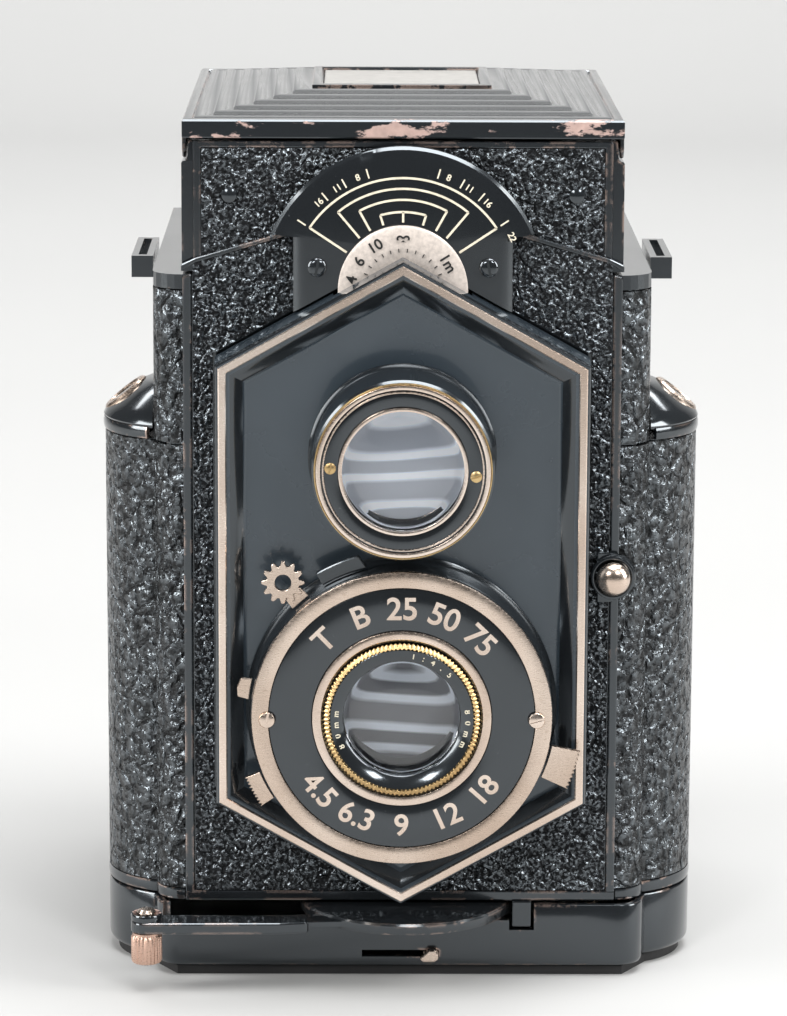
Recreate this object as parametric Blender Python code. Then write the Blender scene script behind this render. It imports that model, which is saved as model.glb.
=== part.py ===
"""Twin lens reflex camera with a sheet-metal body, two spool towers and a folding hood.

Lengths are in millimetres until a mesh is made. Inside the file y = 0 is the plane of the
front leather, y grows towards the back, z = 0 is the table, and an empty carries the whole
camera so that its bounding box is centred on the origin.
"""
import math

import bmesh
import bpy
from mathutils import Vector

for old in list(bpy.data.objects):
    bpy.data.objects.remove(old, do_unlink=True)

MM = 0.001
GAP = 0.3                       # clearance between pieces that touch
FRONT_Y = -31.3                 # where the front leather lies in the camera's own frame
BODY_BACK = 85.0                # depth of the body behind the front leather

# body
HALF_WIDTH = 40.3               # metal side wall, under its leather
STRIP_X = 36.1                  # edge of the flat front
TOWER_X, TOWER_Y, TOWER_R = 35.4, 19.0, 13.7
WALL = 0.9
LEATHER = 0.6
BODY_BOTTOM, TOWER_TOP, BODY_TOP = 12.9, 91.0, 119.4
SHELL_BACK = 80.7
CORNER_R = 4.2

# optical axes
TAKING_Z, VIEWING_Z = 49.0, 91.0

# hexagonal lens panel
HEX_HALF, HEX_UP, HEX_LOW, HEX_TOP, HEX_BOTTOM = 30.0, 105.7, 33.0, 122.5, 16.0
PANEL_FRONT, PANEL_FLOOR, PANEL_PLATE = -10.1, -8.6, 1.0

# hood
HOOD_X, HOOD_FRONT, HOOD_BACK = 36.2, 1.6, 83.6
HOOD_BASE, HOOD_TOP = 119.9, 141.4
LID_HINGE_Y, LID_HINGE_Z = 84.0, 141.6
FLAP_HINGE_X, FLAP_HINGE_Z = 33.2, 137.0
FRONT_FLAP_Y, FRONT_FLAP_Z = 4.0, 135.0
MAGNIFIER_Y, MAGNIFIER_Z = 50.0, 139.6

# focusing
LEVER_X, LEVER_Y, LEVER_R = 1.0, 6.0, 18.0
LEVER_LOW, LEVER_HIGH = 10.4, 12.6
KNOB_X, KNOB_Y = -42.3, -9.0
DISC_Z, DISC_R = 117.6, 10.6

# base
TRAY_LOW, TRAY_HIGH, TRAY_FRONT, TRAY_WALL = 1.8, 12.6, -1.0, 1.2

root = bpy.data.objects.new("camera_frame", None)
root.location = (0.0, FRONT_Y * MM, 0.0)
bpy.context.scene.collection.objects.link(root)


def material(name, colour, roughness, metallic=0.0):
    made = bpy.data.materials.new(name)
    made.use_nodes = True
    shader = made.node_tree.nodes["Principled BSDF"]
    shader.inputs["Base Color"].default_value = (*colour, 1.0)
    shader.inputs["Roughness"].default_value = roughness
    shader.inputs["Metallic"].default_value = metallic
    return made


ENAMEL = material("black_enamel", (0.012, 0.012, 0.013), 0.18)
SATIN = material("satin_black", (0.02, 0.021, 0.023), 0.4)
LEATHERETTE = material("black_leatherette", (0.02, 0.02, 0.021), 0.6)
NICKEL = material("nickel", (0.75, 0.68, 0.6), 0.22, 1.0)
BRASS = material("brass", (0.72, 0.52, 0.25), 0.3, 1.0)
STEEL = material("steel", (0.5, 0.5, 0.5), 0.35, 1.0)
GLASS = material("glass", (0.7, 0.75, 0.8), 0.03)
MIRROR = material("mirror_silver", (0.9, 0.9, 0.9), 0.02, 1.0)
SCREEN = material("ground_glass", (0.8, 0.82, 0.8), 0.7)
WOOD = material("spool_wood", (0.25, 0.15, 0.08), 0.6)


def finish(name, mesh, origin, mat, smooth):
    """Make the object, with its origin at a point in camera millimetres."""
    made = bpy.data.objects.new(name, mesh)
    made.parent = root
    made.location = Vector(origin) * MM
    bpy.context.scene.collection.objects.link(made)
    mesh.materials.append(mat)
    if smooth:
        mesh.shade_smooth()
        mesh.set_sharp_from_angle(angle=math.radians(35))
    return made


def mesh_from_rings(name, rings, closed=False):
    """Skin a list of equally long point rings; the ends are capped unless closed."""
    shape = bmesh.new()
    rows = [[shape.verts.new(Vector(point) * MM) for point in ring] for ring in rings]
    pairs = list(zip(rows, rows[1:]))
    if closed:
        pairs.append((rows[-1], rows[0]))
    else:
        shape.faces.new(rows[0])
        shape.faces.new(rows[-1])
    for first, second in pairs:
        count = len(first)
        for index in range(count):
            follow = (index + 1) % count
            shape.faces.new((first[index], first[follow], second[follow], second[index]))
    bmesh.ops.recalc_face_normals(shape, faces=shape.faces)
    mesh = bpy.data.meshes.new(name)
    shape.to_mesh(mesh)
    shape.free()
    return mesh


def loft_y(name, rings, mat, origin=(0, 0, 0), closed=False):
    """Skin (outline in x and z, y) pairs."""
    points = [[(x - origin[0], y - origin[1], z - origin[2]) for x, z in outline]
              for outline, y in rings]
    return finish(name, mesh_from_rings(name, points, closed), origin, mat, False)


def loft_z(name, rings, mat, origin=(0, 0, 0), closed=False):
    """Skin (outline in x and y, z) pairs."""
    points = [[(x - origin[0], y - origin[1], z - origin[2]) for x, y in outline]
              for outline, z in rings]
    return finish(name, mesh_from_rings(name, points, closed), origin, mat, False)


def plate_y(name, outline, low, high, mat, origin=(0, 0, 0)):
    return loft_y(name, [(outline, low), (outline, high)], mat, origin)


def plate_z(name, outline, low, high, mat, origin=(0, 0, 0)):
    return loft_z(name, [(outline, low), (outline, high)], mat, origin)


def box(name, x, y, z, mat, origin=(0, 0, 0)):
    return plate_z(name, rectangle(x, y), z[0], z[1], mat, origin)


def rectangle(x, y):
    return [(x[0], y[0]), (x[1], y[0]), (x[1], y[1]), (x[0], y[1])]


def turned(name, profile, origin, mat, axis="Y", steps=48):
    """Revolve a closed profile of (radius, distance along the axis) pairs."""
    shape = bmesh.new()

    def place(radius, along, angle):
        across, up = radius * math.cos(angle), radius * math.sin(angle)
        spots = {"X": (along, across, up), "Y": (across, along, up), "Z": (across, up, along)}
        return Vector(spots[axis]) * MM

    rows = []
    for radius, along in profile:
        if radius == 0:
            rows.append([shape.verts.new(place(0, along, 0))] * steps)
        else:
            rows.append([shape.verts.new(place(radius, along, 2 * math.pi * step / steps))
                         for step in range(steps)])
    for first, second in zip(rows, rows[1:] + rows[:1]):
        for step in range(steps):
            follow = (step + 1) % steps
            corners = [first[step], first[follow], second[follow], second[step]]
            distinct = list(dict.fromkeys(corners))
            if len(distinct) > 2:
                shape.faces.new(distinct)
    bmesh.ops.recalc_face_normals(shape, faces=shape.faces)
    mesh = bpy.data.meshes.new(name)
    shape.to_mesh(mesh)
    shape.free()
    return finish(name, mesh, origin, mat, True)


def disc(name, radius, low, high, origin, mat, axis="Y", steps=32):
    return turned(name, [(0, low), (radius, low), (radius, high), (0, high)],
                  origin, mat, axis, steps)


def combine(target, other, operation):
    """Boolean one object with a helper, which stays behind as a hidden wire."""
    other.hide_render = True
    other.display_type = "WIRE"
    step = target.modifiers.new(other.name, "BOOLEAN")
    step.operation = operation
    step.object = other
    step.solver = "EXACT"
    return target


def cut(target, other):
    return combine(target, other, "DIFFERENCE")


def fuse(target, other):
    return combine(target, other, "UNION")


def hexagon(offset):
    """The lens panel's outline moved outwards by offset."""
    half = HEX_HALF + offset
    rise = (HEX_TOP - HEX_UP) / HEX_HALF
    fall = (HEX_LOW - HEX_BOTTOM) / HEX_HALF
    top = HEX_TOP + offset * math.hypot(1, rise)
    bottom = HEX_BOTTOM - offset * math.hypot(1, fall)
    return [(-half, bottom + fall * half), (0, bottom), (half, bottom + fall * half),
            (half, top - rise * half), (0, top), (-half, top - rise * half)]


def arc(centre, radius, start, end, steps):
    """Points on an arc, angles in degrees."""
    return [(centre[0] + radius * math.cos(math.radians(start + (end - start) * n / steps)),
             centre[1] + radius * math.sin(math.radians(start + (end - start) * n / steps)))
            for n in range(steps + 1)]


def side_outline(offset, back):
    """Half of the body's plan: rounded front corner, tower, straight wall to the back."""
    radius = TOWER_R + offset
    side = HALF_WIDTH + offset
    crease = math.degrees(math.acos((side - TOWER_X) / radius))
    corner = arc((STRIP_X, 6.0), CORNER_R + offset, -90, -15, 5)
    return corner + arc((TOWER_X, TOWER_Y), radius, -crease, crease, 20) + [(side, back)]


def mirrored(outline):
    """Close a right half outline with its reflection."""
    return outline + [(-x, y) for x, y in reversed(outline)]


def body():
    """Main shell, leather skins, tower shoulders, counters and strap lugs."""
    front_wall_y = 1.1
    outer = [(STRIP_X, front_wall_y)] + side_outline(0, SHELL_BACK)
    shell = plate_z("body_shell", mirrored(outer), BODY_BOTTOM, TOWER_TOP, ENAMEL)
    corner = arc((STRIP_X, 6.0), CORNER_R, -90, 0, 6)
    upper = [(STRIP_X, front_wall_y)] + corner + [(HALF_WIDTH, SHELL_BACK)]
    fuse(shell, plate_z("upper_body", mirrored(upper), TOWER_TOP - 1, BODY_TOP - 2, ENAMEL))
    inner = [(STRIP_X, front_wall_y + 1.8)] + side_outline(-WALL, SHELL_BACK + 1)
    cut(shell, plate_z("lower_hollow", mirrored(inner), BODY_BOTTOM - 1, TOWER_TOP - WALL, ENAMEL))
    top = [(STRIP_X, 1.0)] + arc((STRIP_X, 6.0), CORNER_R + 0.9, -90, 0, 6)
    top += [(HALF_WIDTH + 0.9, BODY_BACK)]
    fuse(shell, plate_z("top_ledge", mirrored(top), BODY_TOP - 2.4, BODY_TOP, ENAMEL))
    inside = HALF_WIDTH - WALL
    cut(shell, box("upper_hollow", (-inside, inside), (front_wall_y + 1.8, SHELL_BACK + 1),
                   (TOWER_TOP - 2, BODY_TOP - 2.4), ENAMEL))
    cut(shell, box("screen_window", (-33, 33), (9, 75), (BODY_TOP - 5, BODY_TOP + 1), ENAMEL))
    fuse(shell, box("lever_bracket", (-12, 12), (2, 20), (BODY_BOTTOM + 0.1, 15), ENAMEL))
    holes = (("lever_hole", 2.4, LEVER_X, LEVER_Y, None), ("taking_hole", 21.5, 0, None, TAKING_Z),
             ("viewing_hole", 13.4, 0, None, VIEWING_Z), ("disc_hole", 2.3, 0, None, DISC_Z),
             ("button_hole", 2.0, 35.0, None, 69.4))
    for name, radius, x, y, z in holes:
        if z is None:
            cut(shell, disc(name, radius, 11, 17, (x, y, 0), ENAMEL, "Z"))
        else:
            cut(shell, disc(name, radius, 0.5, 6, (x, 0, z), ENAMEL))

    arch = [(-34.4, 14.9), (34.4, 14.9), (34.4, 121.5), (18.2, 126.0), (-18.2, 126.0), (-34.4, 121.5)]
    skin = plate_y("front_leather", arch, 0.0, 0.7, LEATHERETTE)
    cut(skin, plate_y("panel_opening", hexagon(1.2), -1, 2, LEATHERETTE))
    cut(skin, disc("button_opening", 2.2, -1, 2, (35.0, 0, 69.4), LEATHERETTE))

    for side, word in ((-1, "left"), (1, "right")):
        near = side_outline(GAP, SHELL_BACK)
        far = side_outline(GAP + LEATHER, SHELL_BACK)
        wrap = [(side * x, y) for x, y in far + near[::-1]]
        cover = plate_z(f"side_leather_{word}", wrap, 15.0, TOWER_TOP - 0.2, LEATHERETTE)
        flat_near = arc((STRIP_X, 6.0), CORNER_R + GAP, -90, 0, 6) + [(HALF_WIDTH + GAP, SHELL_BACK)]
        flat_far = arc((STRIP_X, 6.0), CORNER_R + GAP + LEATHER, -90, 0, 6)
        flat_far += [(HALF_WIDTH + GAP + LEATHER, SHELL_BACK)]
        flat = [(side * x, y) for x, y in flat_far + flat_near[::-1]]
        fuse(cover, plate_z(f"upper_wrap_{word}", flat, TOWER_TOP + GAP, BODY_TOP - 2.7, LEATHERETTE))
        sheet = sorted((side * (HALF_WIDTH + GAP), side * (HALF_WIDTH + GAP + LEATHER)))
        fuse(cover, box(f"wrap_bridge_{word}", sheet, (34, SHELL_BACK), (80, 100), LEATHERETTE))
        cut(cover, disc(f"button_notch_{word}", 2.2, -1, 4, (35.0, 0, 69.4), LEATHERETTE))
        shoulder(side, word)
        lug = box(f"strap_lug_{word}", sorted((side * 41.6, side * 45.2)), (15.4, 38.0),
                  (116.8, 120.4), ENAMEL)
        cut(lug, box(f"lug_opening_{word}", sorted((side * 42.7, side * 44.1)), (17.0, 36.4),
                     (110, 125), ENAMEL))


def shoulder(side, word):
    """Domed cap over a spool tower, its nickel window ring and the counter dial below it."""
    rim_r, top_r = TOWER_R + 1.2, 6.8
    axis = (side * TOWER_X, TOWER_Y, 0)
    profile = [(0, 91.3), (rim_r, 91.3), (rim_r, 93.0), (top_r, 99.5), (0, 99.5)]
    cap = turned(f"tower_cap_{word}", profile, axis, ENAMEL, "Z", 64)
    reach = sorted((side * (HALF_WIDTH + 1.2), side * 10))
    cut(cap, box(f"cap_trim_{word}", reach, (0, 50), (90, 101), ENAMEL))
    slope = math.atan2(99.5 - 93.0, rim_r - top_r)
    middle = (side * (TOWER_X + (rim_r + top_r) / 2), TOWER_Y, 96.25)
    pieces = (("window_pocket", 3.4, -1.6, 2.0, 0, ENAMEL),
              ("counter_dial", 3.1, -1.3, -0.8, 0, SATIN),
              ("window_ring", 4.4, 0.35, 0.95, 3.3, NICKEL))
    for name, radius, low, high, bore, mat in pieces:
        shape = [(bore, low), (radius, low), (radius, high), (bore, high)]
        if name == "counter_dial" and side < 0:
            continue
        made = turned(f"{name}_{word}", shape, middle, mat, "Z", 32)
        made.rotation_euler = (0, side * slope, 0)
        if name == "window_pocket":
            cut(cap, made)


def interior():
    """Film path, taking chamber, reflex mirror and focusing screen."""
    def square(half, low, high):
        return [(-half, low), (half, low), (half, high), (-half, high)]

    wall = 1.2
    front = (15.0, TAKING_Z - 15, TAKING_Z + 15)
    rear = (29.5, TAKING_Z - 29.5, TAKING_Z + 29.5)
    rings = []
    for (half, low, high), y in ((front, 3.6), (rear, 66.0)):
        rings.append((square(half + wall, low - wall, high + wall), y))
    for (half, low, high), y in ((rear, 66.0), (front, 3.6)):
        rings.append((square(half, low, high), y))
    loft_y("taking_chamber", rings, SATIN, closed=True)
    gate = plate_y("film_gate", square(38.0, 16.0, 82.0), 66.4, 67.8, STEEL)
    cut(gate, plate_y("gate_opening", square(28.0, TAKING_Z - 28, TAKING_Z + 28), 60, 70, STEEL))
    for side, word in ((-1, "left"), (1, "right")):
        disc(f"film_roller_{word}", 2.2, 17.0, 81.0, (side * 36.0, 71.0, 0), STEEL, "Z", 20)
    for side, word in ((-1, "supply_spool"), (1, "take_up_spool")):
        flange, core = 12.3, 4.0
        profile = [(1.6, 17.5), (flange, 17.5), (flange, 18.5), (core, 18.5), (core, 79.5),
                   (flange, 79.5), (flange, 80.5), (1.6, 80.5)]
        turned(word, profile, (side * TOWER_X, TOWER_Y, 0), WOOD, "Z", 28)

    middle, half = (42.0, 92.6), 27.0 / math.sqrt(2)
    lift = 1.0 / math.sqrt(2)
    glass = [(middle[0] - half, middle[1] - half), (middle[0] + half, middle[1] + half),
             (middle[0] + half + lift, middle[1] + half - lift),
             (middle[0] - half + lift, middle[1] - half - lift)]
    slab("mirror", glass, (20.5, 30.0, 30.0, 20.5), MIRROR)
    shift = 1.4 / math.sqrt(2)
    grow = 1.0 / math.sqrt(2)
    back = [(middle[0] - half - grow + shift, middle[1] - half - grow - shift),
            (middle[0] + half + grow + shift, middle[1] + half + grow - shift),
            (middle[0] + half + grow + 2 * shift, middle[1] + half + grow - 2 * shift),
            (middle[0] - half - grow + 2 * shift, middle[1] - half - grow - 2 * shift)]
    slab("mirror_carrier", back, (21.5, 33.0, 33.0, 21.5), SATIN)
    box("focusing_screen", (-30.5, 30.5), (11.5, 72.5), (116.0, 117.4), SCREEN)
    frame = box("screen_frame", (-32.6, 32.6), (9.4, 74.6), (117.8, 119.6), SATIN)
    cut(frame, box("frame_opening", (-28, 28), (14, 70), (110, 125), SATIN))


def slab(name, outline, halves, mat):
    """Extrude an outline in y and z sideways, each corner by its own half width."""
    rings = [[(side * half, y, z) for (y, z), half in zip(outline, halves)] for side in (-1, 1)]
    return finish(name, mesh_from_rings(name, rings), (0, 0, 0), mat, False)


def panel():
    """Hexagonal focusing panel with both lenses and the leaf shutter."""
    back = PANEL_FLOOR + PANEL_PLATE
    rings = [(hexagon(-3.5), PANEL_FLOOR), (hexagon(-1.6), PANEL_FRONT), (hexagon(0.7), PANEL_FRONT),
             (hexagon(0.7), -GAP), (hexagon(-0.4), -GAP), (hexagon(-0.4), back)]
    plate = loft_y("lens_panel", rings, ENAMEL)
    cut(plate, disc("viewing_bore", 12.8, -20, 5, (0, 0, VIEWING_Z), ENAMEL, steps=48))
    cut(plate, disc("taking_bore", 19.9, -20, 5, (0, 0, TAKING_Z), ENAMEL, steps=48))
    cut(plate, disc("disc_clearance", DISC_R + 0.8, -5.2, 1, (0, 0, DISC_Z), ENAMEL, steps=48))
    trim_front = PANEL_FRONT - GAP - 0.4
    trim_back = PANEL_FRONT - GAP
    loft_y("panel_trim", [(hexagon(0), trim_front), (hexagon(0), trim_back),
                          (hexagon(-1.3), trim_back), (hexagon(-1.3), trim_front)], NICKEL, closed=True)
    collar = loft_y("light_collar", [(hexagon(-0.8), -7.3), (hexagon(-0.8), 0.8),
                                     (hexagon(-1.8), 0.8), (hexagon(-1.8), -7.3)], SATIN, closed=True)
    cut(collar, box("collar_trim", (-40, 40), (-9, 3), (104, 130), SATIN))

    seat = PANEL_FLOOR - GAP
    view = (0, 0, VIEWING_Z)
    turned("viewing_barrel", [(14.7, -21.7), (14.7, seat), (12.5, seat), (12.5, 3.0), (10.0, 3.0),
                              (10.0, -21.7)], view, ENAMEL, steps=56)
    turned("viewing_ring", [(14.3, -22.4), (14.3, -22.0), (9.8, -22.0), (9.8, -22.4)], view,
           NICKEL, steps=56)
    lens("viewing_lens", 9.6, -20.6, 5.5, 1.5, view)

    take = (0, 0, TAKING_Z)
    turned("shutter_housing", [(24.7, -16.2), (24.7, seat), (19.6, seat), (19.6, 2.0), (15.0, 2.0),
                               (15.0, -16.2)], take, ENAMEL, steps=64)
    turned("shutter_face", [(21.6, -16.9), (21.6, -16.5), (14.9, -16.5), (14.9, -16.9)], take,
           ENAMEL, steps=64)
    turned("face_ring", [(24.5, -17.1), (24.5, -16.5), (21.9, -16.5), (21.9, -17.1)], take,
           NICKEL, steps=64)
    turned("taking_mount", [(14.6, -17.1), (14.6, -15.0), (11.6, -15.0), (11.6, -5.0), (9.9, -5.0),
                            (9.9, -17.9), (11.6, -17.9), (11.6, -17.1)], take, BRASS)
    lens("taking_lens", 9.5, -16.2, 5.0, 1.2, take)
    disc("shutter_blades", 14.6, -2.2, -1.8, take, STEEL, steps=32)
    for side, word in ((-1, "left"), (1, "right")):
        disc(f"face_screw_{word}", 1.2, -18.1, -17.4, (side * 22.0, 0, TAKING_Z), NICKEL, steps=20)
    levers()


def lens(name, radius, front, thick, bulge, centre):
    """Round glass with a domed front, turned about the optical axis."""
    dome = [(radius * math.sin(math.radians(a)), front - bulge * math.cos(math.radians(a)))
            for a in (0, 30, 60, 90)]
    return turned(name, dome + [(radius, front + thick), (0, front + thick)], centre, GLASS, steps=40)


def levers():
    """Four nickel levers that swing about the taking axis outside the shutter housing."""
    for name, middle, half, reach, head in (
            ("speed_lever", 131.3, 4.0, 27.6, 3.6), ("cocking_lever", 170.3, 5.0, 27.4, 0),
            ("release_lever", 208.3, 6.0, 27.6, 0), ("aperture_lever", -18.3, 6.5, 30.0, 0)):
        centre = (0, TAKING_Z)
        low, high = middle - half, middle + half
        outline = arc(centre, 25.1, low, high, 4) + arc(centre, reach, high, low, 4)
        lever = plate_y(name, outline, -14.4, -13.2, NICKEL, (0, 0, TAKING_Z))
        if head:
            x = 29.4 * math.cos(math.radians(middle))
            z = 29.4 * math.sin(math.radians(middle)) + TAKING_Z
            fuse(lever, disc(f"{name}_head", head, -14.4, -13.2, (x, 0, z), NICKEL, steps=24))
            cut(lever, disc(f"{name}_hole", 1.3, -16, -12, (x, 0, z), NICKEL, steps=16))


def focusing():
    """Lever with its knob, distance disc, depth-of-field plate and release button."""
    pivot = (LEVER_X, LEVER_Y, 0)
    lever = disc("focus_lever", LEVER_R, LEVER_LOW, LEVER_HIGH, pivot, ENAMEL, "Z", 64)
    fuse(lever, box("lever_arm", (KNOB_X - 2.4, -3), (KNOB_Y - 1.9, KNOB_Y + 1.9),
                    (LEVER_LOW, LEVER_HIGH), ENAMEL))
    fuse(lever, disc("lever_shaft", 2.1, LEVER_LOW + 0.5, 18.0, pivot, STEEL, "Z", 24))
    spot = (KNOB_X, KNOB_Y, 0)
    turned("focus_knob", [(0, 5.0), (2.2, 5.0), (2.55, 5.4), (2.55, 10.1), (0, 10.1)], spot,
           NICKEL, "Z", 32)

    shaft = [(0, -4.4), (DISC_R, -4.4), (DISC_R, -3.4), (2.0, -3.4), (2.0, 5.0), (0, 5.0)]
    turned("distance_disc", shaft, (0, 0, DISC_Z), NICKEL, steps=56)
    dome = arc((0, DISC_Z), 23.3, 23.0, 157.0, 32)
    foot = 18.0
    outline = dome + [(-17.9, 126.7), (-17.9, 121.0 - foot), (17.9, 121.0 - foot), (17.9, 126.7)]
    plate = plate_y("dof_plate", outline, -3.0, -GAP, ENAMEL)
    cut(plate, plate_y("panel_space", hexagon(1.1), -8, 2, ENAMEL))
    cut(plate, disc("disc_shaft_space", 2.4, -8, 2, (0, 0, DISC_Z), ENAMEL))

    button = (35.0, 0, 69.4)
    mount = plate_y("release_plate", [(32.6, 65), (38.5, 65), (38.5, 73), (32.6, 73)],
                    -1.3, -GAP, ENAMEL)
    cut(mount, disc("plate_bore", 1.9, -3, 1, button, ENAMEL))
    dome = [(0, -5.4), (1.5, -5.2), (2.5, -4.5), (2.8, -3.6), (2.8, -3.1), (1.6, -3.1), (1.6, 2.0), (0, 2.0)]
    turned("release_button", dome, button, NICKEL, steps=32)


def frame_rectangle(half, front, back):
    return rectangle((-half, half), (front, back))


def hood():
    """Finder hood: fixed walls, lid, three inner flaps and the magnifier."""
    step_z, inset, wall = 138.0, 1.2, 1.2
    lower = frame_rectangle(HOOD_X, HOOD_FRONT, HOOD_BACK)
    upper = frame_rectangle(HOOD_X - inset, HOOD_FRONT, HOOD_BACK)
    inner = frame_rectangle(HOOD_X - inset - wall, HOOD_FRONT + wall, HOOD_BACK - wall)
    loft_z("hood_housing", [(lower, HOOD_BASE), (lower, step_z), (upper, step_z), (upper, HOOD_TOP),
                            (inner, HOOD_TOP), (inner, HOOD_BASE)], ENAMEL, closed=True)
    front = [(-33.0, 126.8), (33.0, 126.8), (33.0, 140.6), (-33.0, 140.6)]
    plate_y("hood_leather", front, 0.7, 1.3, LEATHERETTE)

    hinge = (0, LID_HINGE_Y, LID_HINGE_Z)
    eave = frame_rectangle(36.1, 0.3, 84.6)
    under = frame_rectangle(34.9, 1.5, 83.4)
    crown, hollow = rectangle((-14.8, 14.8), (27, 58)), rectangle((-14, 14), (27.8, 57.2))
    lid = loft_z("hood_lid", [(hollow, 146.8), (under, 143.8), (under, 141.8), (eave, 141.8),
                              (eave, 145.0), (crown, 148.0)], ENAMEL, hinge)
    for side, word in ((-1, "left"), (1, "right")):
        fuse(lid, box(f"lid_skirt_{word}", sorted((side * 35.4, side * 36.1)), (3, 80),
                      (138.4, 143.0), ENAMEL))
        spot = (side * FLAP_HINGE_X, 0, FLAP_HINGE_Z)
        outline = [(side * x, y) for x, y in
                   ((FLAP_HINGE_X, 5.5), (0.6, 5.5), (0.6, 48.0), (31.0, 79.0), (FLAP_HINGE_X, 79.0))]
        plate_z(f"side_flap_{word}", outline, FLAP_HINGE_Z - 0.3, FLAP_HINGE_Z + 0.4, ENAMEL, spot)
    spot = (0, FRONT_FLAP_Y, FRONT_FLAP_Z)
    outline = [(-28, FRONT_FLAP_Y), (28, FRONT_FLAP_Y), (8, 25), (-8, 25)]
    plate_z("front_flap", outline, FRONT_FLAP_Z - 0.4, FRONT_FLAP_Z + 0.3, ENAMEL, spot)

    spot = (0, MAGNIFIER_Y, MAGNIFIER_Z)
    low, high = MAGNIFIER_Z - 1.0, MAGNIFIER_Z + 1.0
    frame = box("magnifier_frame", (-14, 14), (22, MAGNIFIER_Y), (low, high), SATIN, spot)
    cut(frame, disc("magnifier_bore", 11.4, low - 1, high + 1, (0, 36, 0), SATIN, "Z", 40))
    turned("magnifier_lens", [(0, low), (11, MAGNIFIER_Z - 0.6), (11, MAGNIFIER_Z + 0.6), (0, high)],
           (0, 36, 0), GLASS, "Z", 40)


def base():
    """Back and base that come off together, with the latch, bush and winding knob."""
    wound = (TOWER_X, TOWER_Y, 0)
    plate_y("rear_cover", [(-41.2, 13.0), (41.2, 13.0), (41.2, 116.6), (-41.2, 116.6)],
            81.0, BODY_BACK, ENAMEL)
    plate_y("pressure_plate", [(-31, 17), (31, 17), (31, 81), (-31, 81)], 69.4, 70.4, SATIN)
    tower = TOWER_R + 0.9
    crease = math.degrees(math.acos((HALF_WIDTH + 1.4 - TOWER_X) / tower))
    sweep = arc((TOWER_X, TOWER_Y), tower, -crease, crease, 20)
    outer = [(STRIP_X + 3.0, TRAY_FRONT), (HALF_WIDTH + 0.9, 1.6)] + sweep
    outer += [(HALF_WIDTH + 0.9, BODY_BACK)]
    inset = TRAY_WALL
    sweep = arc((TOWER_X, TOWER_Y), tower - inset, -crease, crease, 20)
    inner = [(STRIP_X + 2.4, TRAY_FRONT + inset), (HALF_WIDTH - 0.4, 2.4)] + sweep
    inner += [(HALF_WIDTH - 0.4, BODY_BACK - inset)]
    tray = plate_z("base_tray", mirrored(outer), TRAY_LOW, TRAY_HIGH, ENAMEL)
    cut(tray, plate_z("tray_hollow", mirrored(inner), TRAY_LOW + 1.2, 20, ENAMEL))
    cut(tray, box("lever_recess", (-40, 19.6), (-3, 1), (9.9, 14), ENAMEL))
    cut(tray, box("latch_slot", (-6.4, 6.6), (-3, 1), (3.5, 4.7), ENAMEL))
    cut(tray, disc("tray_knob_hole", 3.4, 0, 5, wound, ENAMEL, "Z", 24))
    cut(tray, disc("tray_bush_hole", 5.0, 0, 5, (0, 42, 0), ENAMEL, "Z", 32))
    foot = [(STRIP_X + 1.5, 0.5)] + arc((TOWER_X, TOWER_Y), tower - 1.5, -60, 66, 20)
    foot += [(HALF_WIDTH - 0.6, BODY_BACK - 1.5)]
    sole = plate_z("bottom_plate", mirrored(foot), 0, 1.5, ENAMEL)
    cut(sole, disc("sole_knob_hole", 9.6, -1, 3, wound, ENAMEL, "Z", 40))
    cut(sole, disc("sole_bush_hole", 8.4, -1, 3, (0, 42, 0), ENAMEL, "Z", 40))
    turned("tripod_bush", [(8.0, 0.2), (8.0, 1.4), (4.7, 1.4), (4.7, 7.0), (3.1, 7.0), (3.1, 0.2)],
           (0, 42, 0), NICKEL, "Z", 36)
    turned("wind_knob", [(0, 0.3), (9.2, 0.3), (9.2, 1.4), (3.0, 1.4), (3.0, 14.5), (1.3, 14.5),
                         (1.3, 21.0), (0, 21.0)], wound, NICKEL, "Z", 36)
    slider = plate_z("latch_slider", [(3.2, -2.9), (6.4, -2.0), (6.4, -1.3), (3.2, -1.3)],
                     3.2, 5.4, NICKEL, (4.7, 0, 4.1))
    fuse(slider, box("slider_stem", (3.6, 6.2), (-1.8, 1.6), (3.8, 4.4), NICKEL))


body()
interior()
panel()
focusing()
hood()
base()
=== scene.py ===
"""Looks of the twin lens reflex camera: materials, fine geometry, light and view."""

from math import acos, atan2, cos, degrees, hypot, pi, radians, sin

import bmesh
import bpy
from mathutils import Matrix, Vector


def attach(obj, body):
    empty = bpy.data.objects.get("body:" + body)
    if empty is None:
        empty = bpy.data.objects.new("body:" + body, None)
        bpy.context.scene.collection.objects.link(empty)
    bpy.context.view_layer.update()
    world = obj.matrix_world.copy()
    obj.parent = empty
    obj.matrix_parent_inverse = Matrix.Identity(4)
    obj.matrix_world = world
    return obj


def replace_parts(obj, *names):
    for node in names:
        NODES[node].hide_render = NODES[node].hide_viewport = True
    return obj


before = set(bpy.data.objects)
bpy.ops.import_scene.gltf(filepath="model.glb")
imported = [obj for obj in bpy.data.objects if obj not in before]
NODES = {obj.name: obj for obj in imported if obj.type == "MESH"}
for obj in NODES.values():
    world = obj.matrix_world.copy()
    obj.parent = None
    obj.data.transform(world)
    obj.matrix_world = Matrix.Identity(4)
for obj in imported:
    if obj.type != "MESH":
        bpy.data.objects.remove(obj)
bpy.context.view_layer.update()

MM = 0.001
FRONT_Y = -31.3                 # the front leather's plane, in mm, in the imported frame
TAKING_Z, VIEWING_Z, DISC_Z = 49.0, 91.0, 117.6      # heights of both lens axes and of the disc
TAKING, DISC = (0, TAKING_Z), (0, DISC_Z)            # x and z of the taking lens and of the disc
BUTTON = (35.0, 69.4)           # x and z of the release button
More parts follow.
